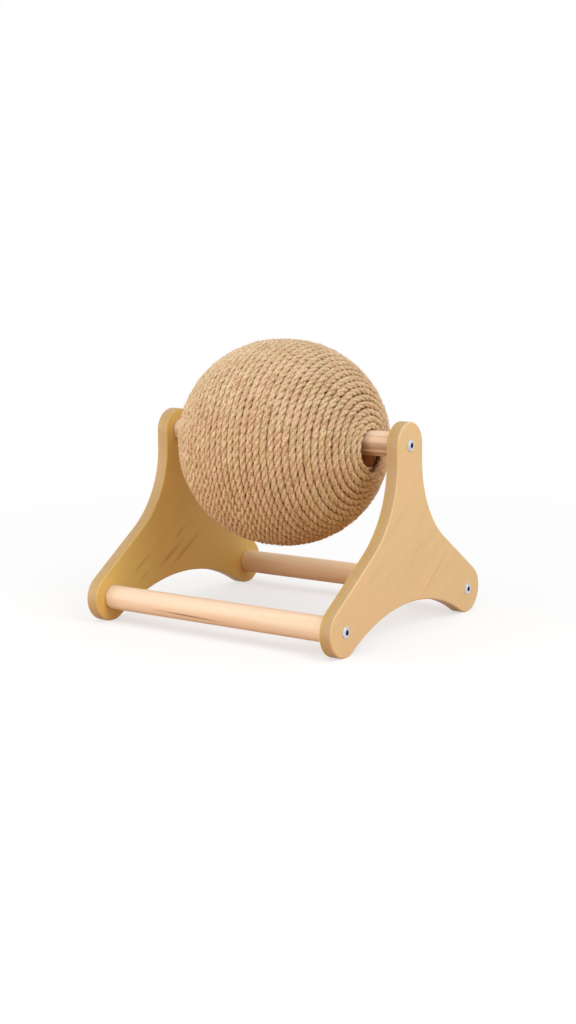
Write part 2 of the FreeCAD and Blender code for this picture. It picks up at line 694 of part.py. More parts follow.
bore_tube("bore_tube")
core_half_left("core_half_left")
core_half_right("core_half_right")

rope = wound_rope()
rope_half("sisal_rope_left", rope, HALF_TURN)
rope_half("sisal_rope_right", rope, None)

check_and_write()
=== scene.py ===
import math
import random

import bmesh
import bpy
import numpy as np
from bpy.props import FloatProperty, FloatVectorProperty, IntProperty, PointerProperty
from mathutils import Color, Matrix, Vector


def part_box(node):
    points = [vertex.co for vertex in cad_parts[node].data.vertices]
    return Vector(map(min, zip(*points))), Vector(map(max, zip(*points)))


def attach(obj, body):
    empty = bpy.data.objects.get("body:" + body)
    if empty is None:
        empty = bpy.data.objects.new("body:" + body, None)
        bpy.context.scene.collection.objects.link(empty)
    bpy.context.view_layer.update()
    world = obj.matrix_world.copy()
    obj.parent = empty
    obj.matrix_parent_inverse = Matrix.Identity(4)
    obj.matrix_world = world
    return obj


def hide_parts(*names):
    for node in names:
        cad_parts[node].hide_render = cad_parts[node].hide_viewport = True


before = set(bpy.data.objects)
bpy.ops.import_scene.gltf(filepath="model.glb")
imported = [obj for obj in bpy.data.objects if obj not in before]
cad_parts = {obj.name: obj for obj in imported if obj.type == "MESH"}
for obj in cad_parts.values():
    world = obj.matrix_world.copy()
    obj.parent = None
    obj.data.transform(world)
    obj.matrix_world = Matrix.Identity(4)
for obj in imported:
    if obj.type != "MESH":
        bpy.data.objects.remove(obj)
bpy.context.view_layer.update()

bl_info = {
    "name": "Cat Scratching Ball",
    "version": (1, 0, 0),
    "blender": (4, 5, 0),
    "location": "3D View > Sidebar > Scratching Ball",
    "description": "Winds the sisal rope of a cat scratching ball and finishes its wooden stand",
    "category": "Object",
}

# Places and sizes of the frame, in metres: X along the axle, Y from front to back, Z up
ROPE_LOW, ROPE_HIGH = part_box("sisal_rope_right")
TUBE_LOW, TUBE_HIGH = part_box("bore_tube")
BOARD_LOW, BOARD_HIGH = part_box("right_side_panel")
BALL_CENTRE = (TUBE_LOW + TUBE_HIGH) / 2
BALL_RADIUS = (ROPE_HIGH.y - ROPE_LOW.y) / 2
TUBE_RADIUS = (TUBE_HIGH.z - TUBE_LOW.z) / 2
BOARD_MIDDLE = (BOARD_LOW.x + BOARD_HIGH.x) / 2
BOARD_HALF = (BOARD_HIGH.x - BOARD_LOW.x) / 2

PANELS = ("left_side_panel", "right_side_panel")
REAR_DOWEL = "rear_spreader_dowel"
DOWELS = ("axle_dowel", "front_spreader_dowel", REAR_DOWEL)
SCREWS = tuple(
    "%s_screw_%s" % (place, side) for place in ("axle", "front", "rear") for side in ("left", "right")
)
CORE_HALVES = ("core_half_left", "core_half_right")
MM = 0.001
FULL_TURN = 2 * math.pi
HALF_TURN = Matrix.Rotation(math.pi, 3, "Z")
WHITE = (1, 1, 1, 1)


def length(name, description, default):
    """A length in metres."""
    return FloatProperty(name=name, description=description, default=default, precision=5, unit="LENGTH")


def share(name, description, default):
    """A plain factor."""
    return FloatProperty(name=name, description=description, default=default, subtype="FACTOR")


def count(name, description, default):
    """A number of things."""
    return IntProperty(name=name, description=description, default=default, min=1)


def angle(name, description, degrees):
    """An angle, given in degrees."""
    default = math.radians(degrees)
    return FloatProperty(name=name, description=description, default=default, subtype="ANGLE")


def power(name, description, default):
    """A lamp's power in watts."""
    return FloatProperty(name=name, description=description, default=default, unit="POWER")


def colour(name, description, default):
    """A colour as it looks on a screen."""
    return FloatVectorProperty(
        name=name, description=description, default=default, size=3, min=0, max=1, subtype="COLOR_GAMMA"
    )


class RopeSettings(bpy.types.PropertyGroup):
    """Sizes and colours of the wound rope."""

    diameter: length("Rope", "Rope as it lies pressed in its turns", 5.1 * MM)
    turn_gap: length("Turn gap", "Least room between neighbouring turns", 0.45 * MM)
    belt: length("Belt", "Straight belt between the two round halves", 6 * MM)
    mouth: length("Mouth", "Radius of the bore that the innermost turn closes round", TUBE_RADIUS - 2 * MM)
    closing_turns: count("Closing turns", "Turns that close round the mouth", 8)
    level_share: share("Level share", "Part of a turn at the mouth that keeps level", 0.5)
    rest_turn: angle("Rest turn", "How far past the bottom the rope's ends lie, towards the back", -15)
    lay: length("Lay", "Rope that one strand takes to go round once", 20 * MM)
    strand_radius: length("Strand", "Radius of each of the three strands", 1.69 * MM)
    strand_offset: length("Strand offset", "Strand's centre line from the rope's", 1.52 * MM)
    pressed_in: share("Pressed in", "Strand offset kept on the core's side", 0.75)
    pressed_out: share("Pressed out", "Strand offset kept on the outside", 0.85)
    unevenness: share("Unevenness", "How far strands swell and stray", 0.14)
    # Deep fibre, sisal and light fibre are random tones and also the painted shade between the turns, darkest
    # down between them
    light: colour("Light fibre", "Sisal on the crests", (0.922, 0.835, 0.712))
    middle: colour("Sisal", "Sisal on the flanks", (0.78, 0.638, 0.476))
    dark: colour("Deep fibre", "Sisal down between the turns", (0.47, 0.30, 0.15))
    yellow: colour("Yellow patches", "Tint of the yellower stretches of rope", (0.988, 0.998, 0.968))
    pink: colour("Pink patches", "Tint of the pinker stretches of rope", (1.0, 0.98, 0.985))
    fibre_twists: count("Fibre twists", "Turns of the fibres along a strand", 440)
    fibres: count("Loose fibres", "Fibres that stand off the rope", 5000)
    fibre_length: length("Fibre length", "Longest loose fibre", 8 * MM)
    fibre_radius: length("Fibre thickness", "Radius of a loose fibre", 0.1 * MM)
    fuzz: count("Fuzz", "Short fibres that lie close on the rope", 9000)
    fuzz_length: length("Fuzz length", "Longest fibre of the fuzz", 3.6 * MM)
    fuzz_radius: length("Fuzz thickness", "Radius of a fibre of the fuzz", 0.14 * MM)
    frayed: count("Frayed fibres", "Fibres at each end of the rope", 90)


class WoodSettings(bpy.types.PropertyGroup):
    """Grain and colours of the wooden stand."""

    grain_angle: angle("Panel grain", "Grain of the panels, up towards the back", 31)
    panel_light: colour("Panel", "Panel's main colour", (0.922, 0.808, 0.612))
    panel_dark: colour("Panel grain", "Panel's darker grain", (0.895, 0.78, 0.57))
    panel_warm: colour("Panel blush", "Warmer patches of the panels", (0.94, 0.797, 0.612))
    # Painted warm shade: the inside tint makes the inner faces yellower than the outer ones
    panel_inner_shade: colour("Panel inside", "Tint of the panels' inner faces", (1.0, 0.98, 0.755))
    panel_edge: colour("Panel edge", "Sawn and sanded edge of the panels", (0.655, 0.52, 0.35))
    # Painted highlight: the rim colour along the panels' corners stands in for light caught on the rounding
    panel_rim_highlight: colour("Panel rim", "Bright lacquer along the panels' corners", (0.92, 0.79, 0.59))
    panel_streak: colour("Panel streak", "Dark streaks in the panels", (0.62, 0.40, 0.19))
    dowel_light: colour("Dowel", "Dowels' main colour", (0.928, 0.83, 0.718))
    dowel_dark: colour("Dowel grain", "Dowels' darker grain", (0.925, 0.795, 0.67))
    # Painted warm shade: the rear dowel's colours are warmer copies of the dowel's, for its place under the
    # ball
    rear_shaded_main: colour("Rear dowel", "Main colour of the warmer rear dowel", (0.93, 0.812, 0.668))
    rear_shaded_grain: colour("Rear dowel grain", "Darker grain of the rear dowel", (0.927, 0.777, 0.622))
    dowel_streak: colour("Dowel streak", "Dark marks in the dowels", (0.49, 0.29, 0.11))


class FittingSettings(bpy.types.PropertyGroup):
    """Colours of the screws, the tube and the core."""

    zinc: colour("Zinc", "Plating of the screws", (0.9, 0.905, 0.915))
    zinc_dull: colour("Dull zinc", "Duller patches of the plating", (0.72, 0.73, 0.76))
    # Painted shade: the socket colour darkens the inside of the screws' sockets
    socket: colour("Socket", "Dark inside of the screws' sockets", (0.23, 0.31, 0.43))
    board: colour("Tube", "Cardboard of the bore tube", (0.78, 0.5, 0.315))
    board_dark: colour("Tube joint", "Seam and fibres of the cardboard", (0.68, 0.42, 0.25))
    # The tube end colour darkens the tube within about 1.2 mm of its ends
    board_end: colour("Tube end", "Soiled cut ends of the tube", (0.56, 0.33, 0.2))
    core: colour("Core", "Moulded core under the rope", (0.36, 0.25, 0.17))
    core_glue: colour("Glue", "Dried glue on the core", (0.25, 0.16, 0.10))


class StageSettings(bpy.types.PropertyGroup):
    """Camera, light and floor."""

    azimuth: angle("Azimuth", "Camera to the right of the front", 35.571)
    elevation: angle("Elevation", "Camera above the horizon", 9.209)
    roll: angle("Roll", "Camera's turn about its own axis", -0.617)
    distance: length("Distance", "Camera to the point that it looks at", 1.2915)
    aim_side: length("Aim side", "Point that the camera looks at, to the right", 3.03 * MM)
    aim_height: length("Aim height", "Point that the camera looks at, above the floor", 87.85 * MM)
    lens: FloatProperty(name="Lens", description="Focal length", default=54.61, unit="CAMERA")
    sky: share("Sky", "Even light from all sides", 0.78)
    left_light: power("Left light", "Power of the softbox at the left", 6.8)
    right_light: power("Right light", "Power of the softbox high at the right", 9.1)
    front_light: power("Front light", "Power of the softbox low at the front", 5.5)
    floor_size: length("Floor", "Side of the square floor", 12)
    floor_bounce: colour("Floor bounce", "Warm light thrown back under the stand", (0.71, 0.475, 0.19))
    floor_pale: colour("Floor around", "Paler light thrown back around the stand", (0.76, 0.60, 0.38))
    bounce_reach: length("Bounce reach", "Distance at which the warm light has ended", 0.2)
    shadow: share("Shadow", "How much of its own shade the floor shows", 0.4)
    shadow_reach: length("Shadow reach", "Distance at which the floor has turned white", 0.9)


class BallSettings(bpy.types.PropertyGroup):
    """All settings of the scratching ball."""

    rope: PointerProperty(type=RopeSettings)
    wood: PointerProperty(type=WoodSettings)
    fittings: PointerProperty(type=FittingSettings)
    stage: PointerProperty(type=StageSettings)


def paint(chosen):
    """A chosen screen colour as the shader takes it."""
    return (*Color(chosen).from_srgb_to_scene_linear(), 1.0)


def set_input(tree, socket, value):
    """Give a node's input a plain value, or link the socket that feeds it."""
    if isinstance(value, bpy.types.NodeSocket):
        tree.links.new(value, socket)
    else:
        socket.default_value = value


def add_node(tree, kind, inputs=None, **settings):
    """Add a node with its settings and its inputs."""
    made = tree.nodes.new("ShaderNode" + kind)
    for name, setting in settings.items():
        setattr(made, name, setting)
    for name, value in (inputs or {}).items():
        set_input(tree, made.inputs[name], value)
    return made


def maths(tree, operation, first, second=0.0, third=0.0):
    """One step of arithmetic on the surface's values."""
    return add_node(tree, "Math", {0: first, 1: second, 2: third}, operation=operation).outputs[0]


def weighed(tree, first, first_weight, second, second_weight):
    """Two values added up, each by its weight."""
    return maths(tree, "MULTIPLY_ADD", first, first_weight, maths(tree, "MULTIPLY", second, second_weight))


NOISE_MIDDLE = 0.5


def swayed(tree, value, sway, weight):
    """A value moved up and down by a noise."""
    return maths(tree, "MULTIPLY_ADD", maths(tree, "SUBTRACT", sway, NOISE_MIDDLE), weight, value)


def distance_of(tree, first, second):
    """A distance from its two parts, which lie at a right angle."""
    square = maths(tree, "MULTIPLY", second, second)
    return maths(tree, "SQRT", maths(tree, "MULTIPLY_ADD", first, first, square))


def from_end(tree, along, end):
    """How far a place is from the nearer end of a piece whose middle is at 0."""
    return maths(tree, "SUBTRACT", end, maths(tree, "ABSOLUTE", along))


def split(tree, vector):
    """The three parts of a vector, by their letters."""
    return add_node(tree, "SeparateXYZ", {0: vector}).outputs


def join(tree, x, y, z):
    """A vector from its three parts."""
    return add_node(tree, "CombineXYZ", {"X": x, "Y": y, "Z": z}).outputs[0]


def from_centre(tree, place):
    """A place as seen from the ball's centre."""
    return add_node(tree, "VectorMath", {0: place, 1: BALL_CENTRE}, operation="SUBTRACT").outputs[0]


def length_of(tree, vector):
    """How long a vector is."""
    return add_node(tree, "VectorMath", {0: vector}, operation="LENGTH").outputs["Value"]


def fade(tree, value, start, end):
    """0 before start, 1 after end, smooth between."""
    inputs = {"Value": value, "From Min": start, "From Max": end}
    return add_node(tree, "MapRange", inputs, interpolation_type="SMOOTHSTEP").outputs["Result"]


def noise(tree, vector, scale, detail=2.0, distortion=0.0):
    """An even-sided noise between 0 and 1."""
    inputs = {"Vector": vector, "Scale": scale, "Detail": detail, "Distortion": distortion}
    return add_node(tree, "TexNoise", inputs).outputs["Fac"]


def ramp(tree, value, *stops):
    """Colours along a value, as pairs of place and colour."""
    made = add_node(tree, "ValToRGB", {"Fac": value})
    elements = made.color_ramp.elements
    for element, (place, chosen) in zip((elements[0], elements[1]), (stops[0], stops[-1])):
        element.position = place
        element.color = paint(chosen)
    for place, chosen in stops[1:-1]:
        elements.new(place).color = paint(chosen)
    return made.outputs["Color"]


# Sockets of a Mix node that mixes colours
MIX_FACTOR = 0
MIX_BELOW = 6
MIX_ABOVE = 7
MIX_RESULT = 2


def mix(tree, factor, below, above, blend="MIX"):
    """One colour over another."""
    inputs = {MIX_FACTOR: factor, MIX_BELOW: below, MIX_ABOVE: above}
    return add_node(tree, "Mix", inputs, data_type="RGBA", blend_type=blend).outputs[MIX_RESULT]


def bump(tree, height, depth):
    """A surface normal from heights between 0 and 1 and the depth that they span."""
    return add_node(tree, "Bump", {"Height": height, "Distance": depth, "Strength": 1.0}).outputs["Normal"]


def object_place(tree):
    """The surface's place in the frame."""
    return add_node(tree, "TexCoord").outputs["Object"]


def empty_tree(holder):
    """The node tree of a new material or world, with nothing in it."""
    holder.use_nodes = True
    holder.node_tree.nodes.clear()
    return holder.node_tree


def start_material(name, plain):
    """A new material and its shader, with the values that are the same all over."""
    material = bpy.data.materials.new(name)
    tree = empty_tree(material)
    shader = add_node(tree, "BsdfPrincipled", plain)
    add_node(tree, "OutputMaterial", {"Surface": shader.outputs["BSDF"]})
    return material, tree, shader


def feed(tree, shader, **sockets):
    """Link values that change over the surface to the shader."""
    for name, socket in sockets.items():
        tree.links.new(socket, shader.inputs[name.replace("_", " ")])


def finish(tree, shader, base, mottle, height, surface):
    """Give a shader its colour, a mottled roughness and its relief.

    The surface is the mottle's share in the roughness, the least roughness and the relief's depth.
    """
    mottled, least, depth = surface
    rough = maths(tree, "MULTIPLY_ADD", mottle, mottled, least)
    feed(tree, shader, Base_Color=base, Roughness=rough, Normal=bump(tree, height, depth))


def start_group(name, inputs, outputs):
    """A new node group; returns its tree and the sockets inside it, in and out."""
    tree = bpy.data.node_groups.new(name, "ShaderNodeTree")
    for label, kind in inputs:
        tree.interface.new_socket(label, in_out="INPUT", socket_type="NodeSocket" + kind)
    for label in outputs:
        tree.interface.new_socket(label, in_out="OUTPUT", socket_type="NodeSocketFloat")
    entry = tree.nodes.new("NodeGroupInput")
    leave = tree.nodes.new("NodeGroupOutput")
    return tree, entry.outputs, leave.inputs


def place_group(tree, name, build, inputs):
    """Place a node group, built the first time, with the material's own values."""
    group = bpy.data.node_groups.get(name) or build(name)
    return add_node(tree, "Group", inputs, node_tree=group).outputs


# Size input, detail and distortion of the grain's noises
GRAIN_NOISES = (("Figure Size", 4.0, 0.6), ("Pore Size", 2.0, 0.0))
# Shares of figure and pores in the height and in the tone of wood
FIGURE_HEIGHT = 0.3
PORE_HEIGHT = 0.7
FIGURE_TONE = 0.6
PORE_TONE = 0.4


def wood_grain(name):
    """Pores, height and tone of wood whose grain runs along the vector's X."""
    inputs = (("Vector", "Vector"), ("Figure Size", "Float"), ("Pore Size", "Float"), ("Stretch", "Float"))
    tree, given, out = start_group(name, inputs, ("Pores", "Height", "Tone"))
    found = []
    for size, detail, distortion in GRAIN_NOISES:
        cell = join(tree, maths(tree, "MULTIPLY", given[size], given["Stretch"]), given[size], given[size])
        stretched = add_node(tree, "VectorMath", {0: given["Vector"], 1: cell}, operation="DIVIDE").outputs[0]
        found.append(noise(tree, stretched, 1.0, detail, distortion))
    figure, pores = found
    tree.links.new(pores, out["Pores"])
    tree.links.new(weighed(tree, pores, PORE_HEIGHT, figure, FIGURE_HEIGHT), out["Height"])
    tree.links.new(weighed(tree, figure, FIGURE_TONE, pores, PORE_TONE), out["Tone"])
    return tree


def rope_shade_depth(name):
    """How far out on the winding a point is, for the painted shade between the turns: 0 down between the
    turns, 1 on the crests.
    """
    inputs = (("Vector", "Vector"), ("Belt Half", "Float"), ("Deep", "Float"), ("Crest", "Float"))
    tree, given, out = start_group(name, inputs, ("Depth",))
    parts = split(tree, from_centre(tree, given["Vector"]))
    past = maths(tree, "SUBTRACT", maths(tree, "ABSOLUTE", parts["X"]), given["Belt Half"])
    past = maths(tree, "MAXIMUM", past, 0.0)
    out_there = length_of(tree, join(tree, past, parts["Y"], parts["Z"]))
    tree.links.new(fade(tree, out_there, given["Deep"], given["Crest"]), out["Depth"])
    return tree


# Where a streak ends and is full, as shares of its half width
STREAK_FADE = (1.0, 0.1)


def grain_streak(name):
    """A long thin mark along the grain: its strength on its middle line, 0 outside."""
    labels = ("Along", "Across", "Half Length", "Half Width", "Strength")
    tree, given, out = start_group(name, [(label, "Float") for label in labels], ("Mask",))
    along = maths(tree, "DIVIDE", given["Along"], given["Half Length"])
    across = maths(tree, "DIVIDE", given["Across"], given["Half Width"])
    shape = fade(tree, distance_of(tree, along, across), *STREAK_FADE)
    tree.links.new(maths(tree, "MULTIPLY", shape, given["Strength"]), out["Mask"])
    return tree


def add_streak(tree, marks, along, across, long, wide, strength):
    """Place one more streak, its sizes in millimetres, among the marks so far."""
    sizes = {"Half Length": long / 2 * MM, "Half Width": wide / 2 * MM, "Strength": strength}
    inputs = {"Along": along, "Across": across, **sizes}
    mark = place_group(tree, "Grain Streak", grain_streak, inputs)["Mask"]
    return mark if marks is None else maths(tree, "MAXIMUM", marks, mark)


# Streaks in the panels' right-hand faces: side (1 right panel, -1 left), middle in Y and Z, turn from
# the grain, length, width and strength, in millimetres and degrees
PANEL_STREAKS = (
    (1, 36.5, 41, 6, 84, 1.8, 0.35),
    (1, 12, 67, 0, 30, 1.8, 0.25),
    (1, -30, 53, 0, 24, 1.4, 0.2),
    (-1, -4, 61, 0, 24, 4.2, 0.38),
    (-1, -17, 43.6, 0, 50, 7.0, 0.42),
    (-1, 3, 44.6, 0, 58, 6.0, 0.42),
    (-1, -56, 41, 0, 34, 3.2, 0.38),
    (-1, -53, 30, 0, 16, 3.0, 0.36),
)
# Finish of the panels, with the tones of the grain's two colours
PANEL_GLOSS = 0.4
PANEL_GRAIN = {"Figure Size": 7 * MM, "Pore Size": 0.5 * MM, "Stretch": 11.0}
PANEL_TONES = (0.34, 0.60)
PANEL_SURFACE = (0.12, 0.40, 0.04 * MM)
# Warmer patches: their noise's scale per metre, its start and full value, and their most
BLUSH_SCALE = 22.0
BLUSH_FADE = (0.42, 0.62)
BLUSH_MOST = 0.6
# Pores between which a streak fades in, and their share of the face's colour on the sawn edge
STREAK_PORES = (0.0, 0.55)
EDGE_PORES = 0.5
# Depths under a face where the sawn edge and the painted highlight along the corner start and are full, and
# where the highlight ends; then its strength outside and inside
EDGE_FADE = (0.15 * MM, 0.8 * MM)
RIM_START = (0.02 * MM, 0.3 * MM)
RIM_END = (1.5 * MM, 0.9 * MM)
RIM_OUTSIDE = 0.6
RIM_INSIDE = 0.2


def panel_wood(wood):
    """Smooth lacquered board with a slanting grain, a few dark streaks, a plainer edge, a painted highlight
    along its corners and painted warm shade on its inner faces.
    """
    material, tree, shader = start_material("panel_wood", {"Specular IOR Level": PANEL_GLOSS})
    place = object_place(tree)
    turned = add_node(tree, "Mapping", {"Vector": place, "Rotation": (-wood.grain_angle, 0, 0)}).outputs[0]
    parts = split(tree, turned)
    grain_place = join(tree, parts["Y"], parts["Z"], parts["X"])
    grain = place_group(tree, "Wood Grain", wood_grain, {"Vector": grain_place, **PANEL_GRAIN})
    face = ramp(tree, grain["Tone"], *zip(PANEL_TONES, (wood.panel_dark, wood.panel_light)))
    blush = fade(tree, noise(tree, place, BLUSH_SCALE), *BLUSH_FADE)
    face = mix(tree, maths(tree, "MULTIPLY", blush, BLUSH_MOST), face, paint(wood.panel_warm))

    marks = None
    for side, y, z, turn, long, wide, strength in PANEL_STREAKS:
        cos = math.cos(math.radians(turn))
        sin = math.sin(math.radians(turn))
        middle = Matrix.Rotation(-wood.grain_angle, 3, "X") @ Vector((0, y, z)) * MM
        forth = maths(tree, "SUBTRACT", parts["Y"], middle.y)
        up = maths(tree, "SUBTRACT", parts["Z"], middle.z)
        along = weighed(tree, forth, cos, up, sin)
        across = weighed(tree, up, cos, forth, -sin)
        here = maths(tree, "COMPARE", parts["X"], side * BOARD_MIDDLE + BOARD_HALF, BOARD_HALF)
        marks = add_streak(tree, marks, along, across, long, wide, maths(tree, "MULTIPLY", here, strength))
    marks = maths(tree, "MULTIPLY", marks, fade(tree, grain["Pores"], *STREAK_PORES))
    face = mix(tree, marks, face, paint(wood.panel_streak))

    off_middle = maths(tree, "SUBTRACT", maths(tree, "ABSOLUTE", parts["X"]), BOARD_MIDDLE)
    inside = maths(tree, "LESS_THAN", off_middle, 0.0)
    # Painted warm shade on the inner faces
    face = mix(tree, inside, face, paint(wood.panel_inner_shade), "MULTIPLY")
    depth = from_end(tree, off_middle, BOARD_HALF)
    sawn = mix(tree, maths(tree, "MULTIPLY", grain["Pores"], EDGE_PORES), paint(wood.panel_edge), face)
    # Painted highlight along the corners, weaker on the inner faces
    rim = maths(tree, "MULTIPLY", fade(tree, depth, *RIM_START), fade(tree, depth, *RIM_END))
    highlight_share = maths(tree, "MULTIPLY_ADD", inside, RIM_INSIDE - RIM_OUTSIDE, RIM_OUTSIDE)
    sawn = mix(tree, maths(tree, "MULTIPLY", rim, highlight_share), sawn, paint(wood.panel_rim_highlight))
    base = mix(tree, fade(tree, depth, *EDGE_FADE), face, sawn)
    finish(tree, shader, base, grain["Pores"], grain["Height"], PANEL_SURFACE)
    return material


# Dark marks of each dowel: middle along X, angle from the top towards the front, its change per metre
# of X, length, width and strength, in millimetres and degrees
DOWEL_MARKS = {
    "axle_dowel": (
        # On the axle these are grain lines; the broad ones at 90, 103 and 138 degrees also paint shade on its
        # lower front half
        (97, 50, 0, 300, 1.1, 0.5),
        (97, 90, 0, 900, 6, 0.5),
        (97, 103, 0, 900, 6, 0.62),
        (97, 112, 0, 300, 1.4, 0.75),
        (97, 138, 0, 900, 9, 0.6),
        (-60, 70, 60, 120, 1.0, 0.4),
    ),
    "front_spreader_dowel": (
        (-22, 111, 140, 96, 2.3, 0.85),
        (70, 143, 60, 50, 1.2, 0.35),
        (-88, 84, 0, 26, 1.0, 0.2),
    ),
    REAR_DOWEL: (
        (10, 70, 80, 120, 1.4, 0.12),
        (60, 105, 40, 90, 1.6, 0.12),
    ),
}
# Finish of the dowels
DOWEL_GLOSS = 0.35
DOWEL_GRAIN = {"Figure Size": 4 * MM, "Pore Size": 0.45 * MM, "Stretch": 28.0}
DOWEL_TONES = (0.36, 0.56)
DOWEL_SURFACE = (0.15, 0.45, 0.05 * MM)
# Pores between which a mark fades in; painted contact shade at a joint: start and full from the end, and its
# most
MARK_PORES = (0.1, 0.5)
JOINT_SHADE_FADE = (1.1 * MM, 0.1 * MM)
JOINT_SHADE_MOST = 0.5


def dowel_wood(node, wood):
    """Turned pale wood with its grain along the dowel, a few dark marks, part of them painted shade on the
    axle, painted contact shade at the joints and painted warm shade on the rear dowel.
    """
    low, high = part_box(node)
    centre = (low + high) / 2
    radius = (high.z - low.z) / 2
    colours = (wood.dowel_dark, wood.dowel_light)
    # Painted warm shade: warmer colours for the rear dowel under the ball
    if node == REAR_DOWEL:
        colours = (wood.rear_shaded_grain, wood.rear_shaded_main)
    material, tree, shader = start_material(node + "_wood", {"Specular IOR Level": DOWEL_GLOSS})
    place = object_place(tree)
    grain = place_group(tree, "Wood Grain", wood_grain, {"Vector": place, **DOWEL_GRAIN})
    base = ramp(tree, grain["Tone"], *zip(DOWEL_TONES, colours))

    parts = split(tree, place)
    forward = maths(tree, "SUBTRACT", centre.y, parts["Y"])
    up = maths(tree, "SUBTRACT", parts["Z"], centre.z)
    round_it = maths(tree, "ARCTAN2", forward, up)
    marks = None
    for x, degrees, slope, long, wide, strength in DOWEL_MARKS[node]:
        along = maths(tree, "SUBTRACT", parts["X"], x * MM)
        middle = maths(tree, "MULTIPLY_ADD", along, math.radians(slope), math.radians(degrees))
        across = maths(tree, "MULTIPLY", maths(tree, "SUBTRACT", round_it, middle), radius)
        marks = add_streak(tree, marks, along, across, long, wide, strength)
    marks = maths(tree, "MULTIPLY", marks, fade(tree, grain["Pores"], *MARK_PORES))
    # Painted contact shade where each end meets a panel
    joint = fade(tree, from_end(tree, parts["X"], high.x), *JOINT_SHADE_FADE)
    marks = maths(tree, "MAXIMUM", marks, maths(tree, "MULTIPLY", joint, JOINT_SHADE_MOST))
    base = mix(tree, marks, base, paint(wood.dowel_streak))
    finish(tree, shader, base, grain["Pores"], grain["Height"], DOWEL_SURFACE)
    return material


# Noise of a strand's fibres: fineness round it and along all of it, and detail
FIBRES_ROUND = 2.0
FIBRES_ALONG = 1300.0
FIBRES_DETAIL = 4.0


def strand_fibres(tree, rope):
    """Fibres twisted round a strand against its lay; its UV map runs along it and then round it."""
    parts = split(tree, add_node(tree, "UVMap", uv_map="UVMap").outputs["UV"])
    twisted = maths(tree, "MULTIPLY_ADD", parts["X"], rope.fibre_twists, parts["Y"])
    turned = maths(tree, "MULTIPLY", twisted, FULL_TURN)
    ring = join(
        tree,
        maths(tree, "MULTIPLY", maths(tree, "COSINE", turned), FIBRES_ROUND),
        maths(tree, "MULTIPLY", maths(tree, "SINE", turned), FIBRES_ROUND),
        maths(tree, "MULTIPLY", parts["X"], FIBRES_ALONG),
    )
    return noise(tree, ring, 1.0, FIBRES_DETAIL)


SISAL_PLAIN = {"Specular IOR Level": 0.2, "Sheen Weight": 0.15, "Sheen Roughness": 0.5}
# Painted shade between the turns: none on the crests, under the ball's outside, and full in the grooves,
# under the rope's middle line
CREST_DEPTH = 0.1 * MM
GROOVE_DEPTH = 0.9 * MM
# Noises of the sisal: scale per metre and detail
PATCH_NOISE = (60.0, 3.0)
TUFT_NOISE = (800.0, 2.0)
TINT_NOISE = (75.0, 1.0)
# Own tones of rope and loose fibres, shares in them of the painted shade between the turns and of the noises,
# and tones of the colours
WOUND_TONE = 0.145
LOOSE_TONE = 0.22
PAINTED_SHADE_TONE = 0.52
PATCH_TONE = 0.3
TUFT_TONE = 1.25
FIBRE_TONE = 1.3
SISAL_TONES = (0.0, 0.45, 0.9)
TINT_TONES = (0.40, 0.60)
# Roughness, as share of the fibres and least where the rope is wound, and relief
WOUND_ROUGHNESS = (0.2, 0.72)
LOOSE_ROUGHNESS = 0.8
TUFT_HEIGHT = 0.5
SISAL_RELIEF = 0.5 * MM


def sisal(name, rope, own_tone, wound):
    """Dry sisal with painted shade down between the turns, streaked with fibres where it is wound."""
    material, tree, shader = start_material(name, SISAL_PLAIN)
    place = object_place(tree)
    reach = {
        "Vector": place,
        "Belt Half": rope.belt / 2,
        "Deep": BALL_RADIUS - rope.diameter / 2 - GROOVE_DEPTH,
        "Crest": BALL_RADIUS - CREST_DEPTH,
    }
    depth = place_group(tree, "Rope Depth", rope_shade_depth, reach)["Depth"]
    tufts = noise(tree, place, *TUFT_NOISE)
    # Painted shade: the tone falls from the crests down between the turns
    tone = maths(tree, "MULTIPLY_ADD", depth, PAINTED_SHADE_TONE, own_tone)
    tone = swayed(tree, tone, noise(tree, place, *PATCH_NOISE), PATCH_TONE)
    tone = swayed(tree, tone, tufts, TUFT_TONE)
    if wound:
        fibres = strand_fibres(tree, rope)
        tone = swayed(tree, tone, fibres, FIBRE_TONE)
        rough = maths(tree, "MULTIPLY_ADD", fibres, *WOUND_ROUGHNESS)
        height = maths(tree, "MULTIPLY_ADD", tufts, TUFT_HEIGHT, fibres)
        feed(tree, shader, Roughness=rough, Normal=bump(tree, height, SISAL_RELIEF))
    else:
        shader.inputs["Roughness"].default_value = LOOSE_ROUGHNESS
    base = ramp(tree, tone, *zip(SISAL_TONES, (rope.dark, rope.middle, rope.light)))
    tint = ramp(tree, noise(tree, place, *TINT_NOISE), *zip(TINT_TONES, (rope.yellow, rope.pink)))
    feed(tree, shader, Base_Color=mix(tree, 1.0, base, tint, "MULTIPLY"))
    return material


# Screws; a noise is a scale per metre and a detail
# Painted shade inside the socket: its radius, and its depth below the head's top where it starts
SOCKET_RADIUS = 2.35 * MM
SOCKET_EDGE = 0.1 * MM
ZINC_NOISE = (900.0, 3.0)
SCRATCH_NOISE = (5200.0, 2.0)
ZINC_TONES = (0.35, 0.65)
ZINC_SURFACE = (0.16, 0.42, 0.008 * MM)


